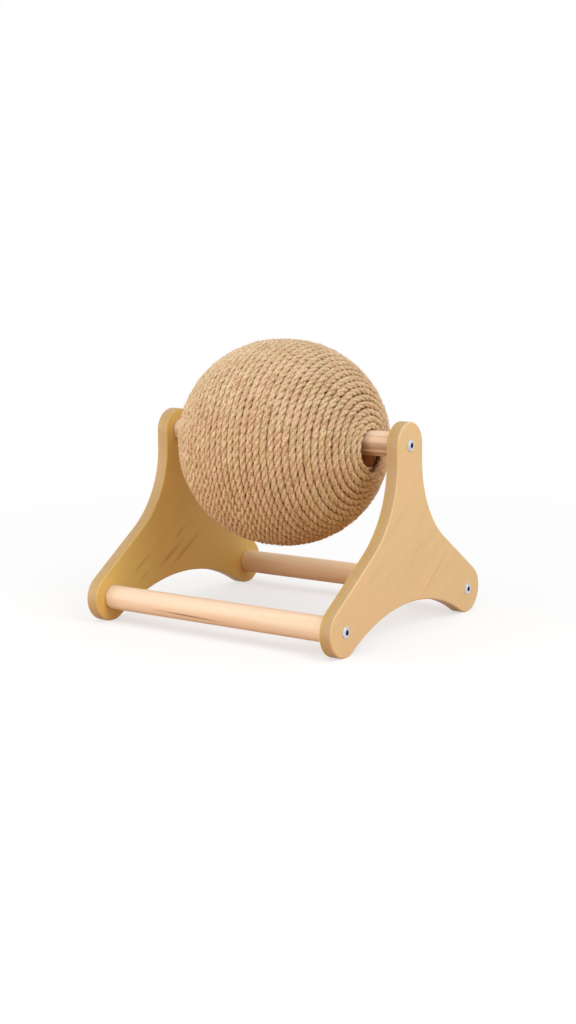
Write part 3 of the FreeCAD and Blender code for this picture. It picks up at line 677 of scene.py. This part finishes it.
def zinc_plate(node, fittings):
    """Bright zinc plating with faint duller patches and painted shade inside the socket."""
    low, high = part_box(node)
    centre = (low + high) / 2
    head_top = max(-low.x, high.x)
    material, tree, shader = start_material(node + "_zinc", {"Metallic": 1.0})
    place = object_place(tree)
    parts = split(tree, place)
    forth = maths(tree, "SUBTRACT", parts["Y"], centre.y)
    up = maths(tree, "SUBTRACT", parts["Z"], centre.z)
    within = maths(tree, "LESS_THAN", distance_of(tree, forth, up), SOCKET_RADIUS)
    sunk = maths(tree, "GREATER_THAN", from_end(tree, parts["X"], head_top), SOCKET_EDGE)
    patches = noise(tree, place, *ZINC_NOISE)
    base = ramp(tree, patches, *zip(ZINC_TONES, (fittings.zinc_dull, fittings.zinc)))
    # Painted shade inside the socket
    base = mix(tree, maths(tree, "MULTIPLY", within, sunk), base, paint(fittings.socket))
    finish(tree, shader, base, patches, noise(tree, place, *SCRATCH_NOISE), ZINC_SURFACE)
    return material


# Tube: specks, rise of its spiral, seam, darkening from its ends, and finish
TUBE_GLOSS = 0.25
SPECK_NOISE = (700.0, 4.0)
TUBE_SPIRAL = 60 * MM
SEAM_MIDDLE = 0.5
SEAM_FADE = (0.02, 0.006)
SEAM_TONE = 0.4
TUBE_TONES = (0.25, 0.65)
TUBE_END_FADE = (1.2 * MM, 0.3 * MM)
TUBE_SURFACE = (0.2, 0.7, 0.06 * MM)


def tube_board(fittings):
    """Spiral-wound cardboard with its seam, short fibres and darker ends."""
    material, tree, shader = start_material("tube_board", {"Specular IOR Level": TUBE_GLOSS})
    place = object_place(tree)
    parts = split(tree, from_centre(tree, place))
    round_it = maths(tree, "DIVIDE", maths(tree, "ARCTAN2", parts["Y"], parts["Z"]), FULL_TURN)
    winding = maths(tree, "FRACT", maths(tree, "MULTIPLY_ADD", parts["X"], 1 / TUBE_SPIRAL, round_it))
    off_seam = maths(tree, "ABSOLUTE", maths(tree, "SUBTRACT", winding, SEAM_MIDDLE))
    seam = fade(tree, off_seam, *SEAM_FADE)
    specks = noise(tree, place, *SPECK_NOISE)
    tone = maths(tree, "SUBTRACT", specks, maths(tree, "MULTIPLY", seam, SEAM_TONE))
    base = ramp(tree, tone, *zip(TUBE_TONES, (fittings.board_dark, fittings.board)))
    to_end = from_end(tree, parts["X"], TUBE_HIGH.x - BALL_CENTRE.x)
    base = mix(tree, fade(tree, to_end, *TUBE_END_FADE), base, paint(fittings.board_end))
    finish(tree, shader, base, specks, tone, TUBE_SURFACE)
    return material


# Core; the glue's noise has a distortion too
CORE_GLOSS = 0.3
GLUE_NOISE = (55.0, 4.0, 0.8)
GLUE_TONES = (0.40, 0.60)
CORE_SURFACE = (-0.3, 0.8, 0.2 * MM)


def core_moulding(fittings):
    """Moulded core with smears of dried glue under the rope."""
    material, tree, shader = start_material("core_moulding", {"Specular IOR Level": CORE_GLOSS})
    smears = noise(tree, object_place(tree), *GLUE_NOISE)
    base = ramp(tree, smears, *zip(GLUE_TONES, (fittings.core, fittings.core_glue)))
    finish(tree, shader, base, smears, smears, CORE_SURFACE)
    return material


def dress(material, *nodes):
    """Give nodes of the frame their finish."""
    for node in nodes:
        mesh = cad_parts[node].data
        mesh.materials.clear()
        mesh.materials.append(material)


# Fineness of the rope's line and of the rings along a strand
POINTS_PER_HALF_TURN = 30
SPLINE_ORDER = 3
SPLINE_STEPS = 6
RING_SPACING = 1.3 * MM


def smooth_step(part):
    """A step from 0 to 1 that starts and ends level."""
    part = min(max(part, 0), 1)
    return part * part * (3 - 2 * part)


def rope_course(rope):
    """Control points of the rope over both halves of the ball, from its left end to its right end.

    The turns step evenly over the ball. Nearer to the mouths each one keeps level for a part of its
    turn and then steps over, so that the innermost one closes round the bore.
    """
    winding = BALL_RADIUS - rope.diameter / 2
    reach = rope.belt / 2 + winding * math.acos((rope.mouth + rope.diameter / 2) / winding)
    half_turns = math.floor(2 * reach / (rope.diameter + rope.turn_gap))
    turns = half_turns / 2
    pitch = reach / turns
    half = []
    for step in range(half_turns * POINTS_PER_HALF_TURN + 1):
        back = step / POINTS_PER_HALF_TURN / 2
        part_turn = back % 1
        level = part_turn - smooth_step((part_turn - rope.level_share) / (1 - rope.level_share))
        closing = max(1 - back / rope.closing_turns, 0)
        arc = pitch * (turns - back + closing * level)
        lean = max(arc - rope.belt / 2, 0) / winding
        along = min(arc, rope.belt / 2) + winding * math.sin(lean)
        radius = winding * math.cos(lean)
        sweep = FULL_TURN * back
        half.append(Vector((along, -radius * math.sin(sweep), -radius * math.cos(sweep))))
    turn = Matrix.Rotation(rope.rest_turn, 3, "X")
    left = [BALL_CENTRE + turn @ HALF_TURN @ point for point in half]
    right = [BALL_CENTRE + turn @ point for point in reversed(half[:-1])]
    return left + right


def rope_route(rope):
    """Even points along the whole rope, read from a smooth spline, and how far along it each one is."""
    course = rope_course(rope)
    curve = bpy.data.curves.new("rope_route", "CURVE")
    curve.dimensions = "3D"
    spline = curve.splines.new("NURBS")
    spline.points.add(len(course) - 1)
    for point, place in zip(spline.points, course):
        point.co = (*place, 1)
    spline.order_u = SPLINE_ORDER
    spline.use_endpoint_u = True
    spline.resolution_u = SPLINE_STEPS
    carrier = bpy.data.objects.new("rope_route", curve)
    line = bpy.data.meshes.new_from_object(carrier)
    points = np.array([vertex.co for vertex in line.vertices])
    bpy.data.objects.remove(carrier)
    bpy.data.curves.remove(curve)
    bpy.data.meshes.remove(line)

    travelled = np.concatenate(([0], np.cumsum(np.linalg.norm(np.diff(points, axis=0), axis=1))))
    rings = int(travelled[-1] / RING_SPACING / 2) * 2 + 1
    even = np.linspace(0, travelled[-1], rings)
    return np.stack([np.interp(even, travelled, points[:, axis]) for axis in range(3)], axis=1), even


def rope_frame(points, rope):
    """Directions along the rope, out from the ball and across the rope at each point."""
    along = np.gradient(points, axis=0)
    along /= np.linalg.norm(along, axis=1)[:, None]
    out = points - np.array(BALL_CENTRE)
    out[:, 0] = np.sign(out[:, 0]) * np.maximum(np.abs(out[:, 0]) - rope.belt / 2, 0)
    out -= along * np.sum(out * along, axis=1)[:, None]
    out /= np.linalg.norm(out, axis=1)[:, None]
    return along, out, np.cross(along, out)


def drift(draws, travelled, spacing, most=1.0):
    """An uneven drift along the rope, up to its most either way, with a new value at every spacing."""
    values = [draws.uniform(-1, 1) for _ in range(int(travelled[-1] / spacing) + 2)]
    return np.interp(travelled, np.arange(len(values)) * spacing, values) * most


def keep_clear(points, thickness, rope):
    """Keep points of a strand or fibre off the axle in the bore and inside the ends of the winding."""
    away = points - np.array(BALL_CENTRE)
    distance = np.hypot(away[:, 1], away[:, 2])
    push = np.maximum(rope.mouth + thickness, distance) / distance
    reach = ROPE_HIGH.x - thickness
    along = np.clip(away[:, 0], -reach, reach)
    return np.array(BALL_CENTRE) + np.column_stack((along, away[:, 1] * push, away[:, 2] * push))


WELD_DISTANCE = 1e-7


def tube_mesh(name, paths, radius, sides):
    """Round tubes along paths of points with a swelling at each, closed at the ends, as one mesh."""
    curve = bpy.data.curves.new(name, "CURVE")
    curve.dimensions = "3D"
    curve.bevel_depth = radius
    # A round bevel has four sides, and two more for each step of its resolution
    curve.bevel_resolution = (sides - 4) // 2
    curve.use_fill_caps = True
    for points, swelling in paths:
        spline = curve.splines.new("POLY")
        spline.points.add(len(points) - 1)
        spline.points.foreach_set("co", np.column_stack((points, np.ones(len(points)))).ravel())
        spline.points.foreach_set("radius", swelling)
    carrier = bpy.data.objects.new(name, curve)
    mesh = bpy.data.meshes.new_from_object(carrier)
    bpy.data.objects.remove(carrier)
    bpy.data.curves.remove(curve)
    shape = bmesh.new()
    shape.from_mesh(mesh)
    bmesh.ops.remove_doubles(shape, verts=shape.verts, dist=WELD_DISTANCE)
    bmesh.ops.recalc_face_normals(shape, faces=shape.faces)
    shape.to_mesh(mesh)
    shape.free()
    mesh.shade_smooth()
    mesh.name = name
    return mesh


def show(name, data):
    """A new object in the scene."""
    made = bpy.data.objects.new(name, data)
    bpy.context.scene.collection.objects.link(made)
    return made


def rope_piece(name, paths, radius, sides, material):
    """Show tubes along paths as a piece of the rope, which moves with the ball."""
    mesh = tube_mesh(name, paths, radius, sides)
    mesh.materials.append(material)
    piece = show(name, mesh)
    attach(piece, "ball")
    return piece


STRANDS = 3
STRAND_SIDES = 8
ROPE_SEED = 7
# Drifts of the rope: spacing of their values along it, and their most
SLOW_STRAY = (120 * MM, 0.15 * MM)
QUICK_STRAY = (14 * MM, 0.12 * MM)
ROPE_TWIST = (60 * MM, 0.7)
STRAND_TWIST = (12 * MM, 0.25)
OFFSET_SPACING = 30 * MM
SLOW_SWELL_SPACING = 20 * MM
QUICK_SWELL_SPACING = 4 * MM


def wind_rope(rope):
    """Lay three strands round the rope's line on each half of the ball."""
    points, travelled = rope_route(rope)
    _, out, across = rope_frame(points, rope)
    middle = len(points) // 2
    draws = random.Random(ROPE_SEED)
    material = sisal("wound_sisal", rope, WOUND_TONE, True)

    from_middle = travelled - travelled[middle]
    straying = drift(draws, travelled, *SLOW_STRAY) + drift(draws, travelled, *QUICK_STRAY)
    turning = FULL_TURN * from_middle / rope.lay + drift(draws, travelled, *ROPE_TWIST)
    for number in range(STRANDS):
        turned = turning + FULL_TURN * number / STRANDS + drift(draws, travelled, *STRAND_TWIST)
        offset = rope.strand_offset * (1 + rope.unevenness * drift(draws, travelled, OFFSET_SPACING))
        outward = offset * np.cos(turned)
        outward *= np.where(outward < 0, rope.pressed_in, rope.pressed_out)
        sideways = offset * np.sin(turned) + straying
        swell = drift(draws, travelled, SLOW_SWELL_SPACING) + drift(draws, travelled, QUICK_SWELL_SPACING)
        swelling = 1 + rope.unevenness * swell / 2
        strand = points + out * outward[:, None] + across * sideways[:, None]
        strand = keep_clear(strand, rope.strand_radius * swelling, rope)
        for side, part in (("left", slice(None, middle + 1)), ("right", slice(middle, None))):
            name = "rope_%s_strand_%d" % (side, number + 1)
            paths = [(strand[part], swelling[part])]
            piece = rope_piece(name, paths, rope.strand_radius, STRAND_SIDES, material)
            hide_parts("sisal_rope_" + side)


# Loose fibres: thickness from root to tip, sides, seeds, and how far they curl
FIBRE_TAPER = (1.0, 0.85, 0.6, 0.2)
FUZZ_TAPER = (1.0, 0.8, 0.25)
FIBRE_SIDES = 4
FUZZ_SEED = 19
FRAY_SEED = 20
FIBRE_SEED = 21
FIBRE_CURL = (-0.2, 0.7)
# Rise, and spread of the roots round the rope and of the headings across it
FUZZ_RISE = 0.12
FIBRE_RISE = 0.3
ROOT_SPREAD = 0.6
HEADING_SPREAD = 0.5
# Shortest as a share of the longest, weight of the short ones, room to the winding's ends
SHORTEST = 0.25
SHORT_BIAS = 1.5
END_ROOM = 1.5 * MM
# Frayed fibres: start before the cut, spread, lean out of the mouth, curl, shortest and longest
FRAY_START = 2 * MM
FRAY_SPREAD = 0.6
FRAY_LEAN = 0.5
FRAY_CURL = 0.5
FRAY_LENGTHS = (4 * MM, 9 * MM)


def fibre_path(draws, root, heading, lift, reach, taper):
    """A short fibre that leaves its root along a heading and curls towards a lift."""
    curl = draws.uniform(*FIBRE_CURL)
    way = np.linspace(0, 1, len(taper))[:, None]
    return root + heading * (reach * way) + lift * (reach * curl * way * way)


def scatter_fibres(name, rope, seed, number, longest, radius, rise, taper, material):
    """Scatter fibres that have come off the strands over the ball."""
    points, _ = rope_route(rope)
    along, out, across = rope_frame(points, rope)
    draws = random.Random(seed)
    paths = []
    while len(paths) < number:
        index = draws.randrange(len(points))
        tilt = draws.gauss(0, ROOT_SPREAD)
        lift = out[index] * math.cos(tilt) + across[index] * math.sin(tilt)
        root = points[index] + lift * rope.diameter / 2
        heading = along[index] * draws.choice((-1, 1)) + lift * draws.uniform(0, rise)
        heading += across[index] * draws.gauss(0, HEADING_SPREAD)
        heading /= np.linalg.norm(heading)
        reach = longest * draws.uniform(SHORTEST, 1) ** SHORT_BIAS
        path = fibre_path(draws, root, heading, lift * rise, reach, taper)
        if np.abs(path[:, 0]).max() < ROPE_HIGH.x - END_ROOM:
            paths.append((keep_clear(path, radius, rope), taper))
    rope_piece(name, paths, radius, FIBRE_SIDES, material)


def frayed_ends(rope, material):
    """Fray the cut ends of the rope at both mouths of the bore."""
    points, _ = rope_route(rope)
    along, out, across = rope_frame(points, rope)
    draws = random.Random(FRAY_SEED)
    for side, end, onward in (("left", 0, -1), ("right", -1, 1)):
        paths = []
        sideways = np.array((onward, 0, 0))
        for _ in range(rope.frayed):
            turned = draws.uniform(0, FULL_TURN)
            outward = out[end] * math.cos(turned) + across[end] * math.sin(turned)
            root = points[end] + outward * rope.diameter / 2 * math.sqrt(draws.random())
            root -= along[end] * onward * FRAY_START
            heading = along[end] * onward + outward * draws.uniform(0, FRAY_SPREAD)
            heading += sideways * draws.uniform(0, FRAY_LEAN)
            heading /= np.linalg.norm(heading)
            reach = draws.uniform(*FRAY_LENGTHS)
            lift = across[end] * draws.gauss(0, FRAY_CURL)
            path = fibre_path(draws, root, heading, lift, reach, FIBRE_TAPER)
            paths.append((keep_clear(path, rope.fuzz_radius, rope), FIBRE_TAPER))
        rope_piece("rope_%s_frayed_end" % side, paths, rope.fuzz_radius, FIBRE_SIDES, material)


def seen_straight(tree):
    """1 for what the camera, a gloss or clear glass sees of a surface, 0 for the light that it throws."""
    path = add_node(tree, "LightPath").outputs
    seen = maths(tree, "MAXIMUM", path["Is Camera Ray"], path["Is Glossy Ray"])
    return maths(tree, "MAXIMUM", seen, path["Is Transmission Ray"])


def make_sky(stage):
    """White all round to look at, and an even soft light."""
    world = bpy.data.worlds.new("studio")
    tree = empty_tree(world)
    levels = {"Value": seen_straight(tree), "To Min": stage.sky, "To Max": 1.0}
    strength = add_node(tree, "MapRange", levels).outputs["Result"]
    sky = add_node(tree, "Background", {"Color": WHITE, "Strength": strength})
    add_node(tree, "OutputWorld", {"Surface": sky.outputs["Background"]})
    bpy.context.scene.world = world


# Floor: its colour in the shade, and where shade and warm light are full, as shares of their reach
FLOOR_PAPER = (0.95, 0.95, 0.95, 1)
FULL_SHADE = 1 / 3
FULL_BOUNCE = 1 / 2


def make_floor(stage):
    """A pale floor that keeps the shadow and throws warm light back under the stand, paler around."""
    shape = bmesh.new()
    bmesh.ops.create_grid(shape, x_segments=1, y_segments=1, size=stage.floor_size / 2)
    mesh = bpy.data.meshes.new("floor")
    shape.to_mesh(mesh)
    shape.free()
    floor = show("floor", mesh)

    material = bpy.data.materials.new("floor_paper")
    tree = empty_tree(material)
    away = length_of(tree, object_place(tree))
    near = fade(tree, away, stage.shadow_reach, stage.shadow_reach * FULL_SHADE)
    under = fade(tree, away, stage.bounce_reach, stage.bounce_reach * FULL_BOUNCE)
    bounce = mix(tree, under, paint(stage.floor_pale), paint(stage.floor_bounce))
    lit = add_node(tree, "BsdfDiffuse", {"Color": bounce}).outputs[0]
    shaded = add_node(tree, "BsdfDiffuse", {"Color": FLOOR_PAPER}).outputs[0]
    white = add_node(tree, "Emission", {"Color": WHITE, "Strength": 1.0}).outputs[0]
    shade = maths(tree, "MULTIPLY", near, stage.shadow)
    pale = add_node(tree, "MixShader", {0: shade, 1: white, 2: shaded}).outputs[0]
    both = add_node(tree, "MixShader", {0: seen_straight(tree), 1: lit, 2: pale}).outputs[0]
    add_node(tree, "OutputMaterial", {"Surface": both})
    mesh.materials.append(material)


# Softboxes: place and side of the square, in metres
SOFTBOXES = {
    "left": ((-1.2, -1.0, 0.43), 0.9),
    "right": ((1.11, -0.2, 1.23), 0.9),
    "front": ((-0.4, -1.5, 0.2), 0.4),
}


def add_softbox(name, place, size, watts):
    """A square softbox that faces the middle of the object."""
    light = bpy.data.lights.new(name, "AREA")
    light.size = size
    light.energy = watts
    lamp = show(name, light)
    lamp.location = place
    aim = Vector((0, 0, BALL_CENTRE.z)) - Vector(place)
    lamp.rotation_euler = aim.to_track_quat("-Z", "Y").to_euler()


def aim_camera(stage):
    """Set the camera where the object is seen from."""
    aim = Matrix.Translation((stage.aim_side, 0, stage.aim_height))
    around = Matrix.Rotation(stage.azimuth, 4, "Z")
    tilted = Matrix.Rotation(math.pi / 2 - stage.elevation, 4, "X")
    back = Matrix.Translation((0, 0, stage.distance))
    rolled = Matrix.Rotation(stage.roll, 4, "Z")
    lens = bpy.data.cameras.new("camera")
    lens.lens = stage.lens
    camera = show("camera", lens)
    camera.matrix_world = aim @ around @ tilted @ back @ rolled
    bpy.context.scene.camera = camera


class SCRATCHBALL_OT_stage(bpy.types.Operator):
    """Set up the camera, the soft light and the pale floor"""

    bl_idname = "scratchball.stage"
    bl_label = "Set Stage"

    def execute(self, context):
        stage = context.scene.scratchball.stage
        context.scene.view_settings.view_transform = "Standard"
        make_sky(stage)
        make_floor(stage)
        for side, (place, size) in SOFTBOXES.items():
            add_softbox("softbox_" + side, place, size, getattr(stage, side + "_light"))
        aim_camera(stage)
        return {"FINISHED"}


class SCRATCHBALL_OT_rope(bpy.types.Operator):
    """Wind the three-strand rope over both halves of the ball"""

    bl_idname = "scratchball.rope"
    bl_label = "Wind Rope"

    def execute(self, context):
        wind_rope(context.scene.scratchball.rope)
        return {"FINISHED"}


class SCRATCHBALL_OT_fibres(bpy.types.Operator):
    """Scatter loose fibres over the rope and fray its ends"""

    bl_idname = "scratchball.fibres"
    bl_label = "Loosen Fibres"

    def execute(self, context):
        rope = context.scene.scratchball.rope
        loose = sisal("loose_sisal", rope, LOOSE_TONE, False)
        fuzz = (rope.fuzz, rope.fuzz_length, rope.fuzz_radius, FUZZ_RISE, FUZZ_TAPER)
        fibres = (rope.fibres, rope.fibre_length, rope.fibre_radius, FIBRE_RISE, FIBRE_TAPER)
        scatter_fibres("rope_fuzz", rope, FUZZ_SEED, *fuzz, loose)
        scatter_fibres("loose_fibres", rope, FIBRE_SEED, *fibres, loose)
        frayed_ends(rope, loose)
        return {"FINISHED"}


class SCRATCHBALL_OT_panels(bpy.types.Operator):
    """Finish the two side panels in lacquered wood"""

    bl_idname = "scratchball.panels"
    bl_label = "Finish Panels"

    def execute(self, context):
        dress(panel_wood(context.scene.scratchball.wood), *PANELS)
        return {"FINISHED"}


class SCRATCHBALL_OT_dowels(bpy.types.Operator):
    """Finish the axle and the two spreader dowels"""

    bl_idname = "scratchball.dowels"
    bl_label = "Finish Dowels"

    def execute(self, context):
        for node in DOWELS:
            dress(dowel_wood(node, context.scene.scratchball.wood), node)
        return {"FINISHED"}


class SCRATCHBALL_OT_screws(bpy.types.Operator):
    """Plate the six screws with zinc"""

    bl_idname = "scratchball.screws"
    bl_label = "Plate Screws"

    def execute(self, context):
        for node in SCREWS:
            dress(zinc_plate(node, context.scene.scratchball.fittings), node)
        return {"FINISHED"}


class SCRATCHBALL_OT_core(bpy.types.Operator):
    """Finish the cardboard tube and the core under the rope"""

    bl_idname = "scratchball.core"
    bl_label = "Finish Core"

    def execute(self, context):
        fittings = context.scene.scratchball.fittings
        dress(tube_board(fittings), "bore_tube")
        dress(core_moulding(fittings), *CORE_HALVES)
        return {"FINISHED"}


OPERATORS = (
    SCRATCHBALL_OT_stage,
    SCRATCHBALL_OT_rope,
    SCRATCHBALL_OT_fibres,
    SCRATCHBALL_OT_panels,
    SCRATCHBALL_OT_dowels,
    SCRATCHBALL_OT_screws,
    SCRATCHBALL_OT_core,
)


class SCRATCHBALL_PT_sidebar(bpy.types.Panel):
    """Steps and settings of the scratching ball"""

    bl_idname = "SCRATCHBALL_PT_sidebar"
    bl_label = "Scratching Ball"
    bl_space_type = "VIEW_3D"
    bl_region_type = "UI"
    bl_category = "Scratching Ball"

    def draw(self, context):
        for operator in OPERATORS:
            self.layout.operator(operator.bl_idname)
        settings = context.scene.scratchball
        for group in (settings.rope, settings.wood, settings.fittings, settings.stage):
            box = self.layout.box()
            for name in group.__annotations__:
                box.prop(group, name)


CLASSES = (
    RopeSettings,
    WoodSettings,
    FittingSettings,
    StageSettings,
    BallSettings,
    *OPERATORS,
    SCRATCHBALL_PT_sidebar,
)


def register():
    """Make the settings, operators and sidebar known."""
    for kind in CLASSES:
        bpy.utils.register_class(kind)
    bpy.types.Scene.scratchball = PointerProperty(type=BallSettings)


def unregister():
    """Take the settings, operators and sidebar away again."""
    del bpy.types.Scene.scratchball
    for kind in reversed(CLASSES):
        bpy.utils.unregister_class(kind)


def main():
    """Build the object step by step."""
    register()
    bpy.ops.scratchball.stage()
    bpy.ops.scratchball.rope()
    bpy.ops.scratchball.fibres()
    bpy.ops.scratchball.panels()
    bpy.ops.scratchball.dowels()
    bpy.ops.scratchball.screws()
    bpy.ops.scratchball.core()


if __name__ == "__main__":
    main()
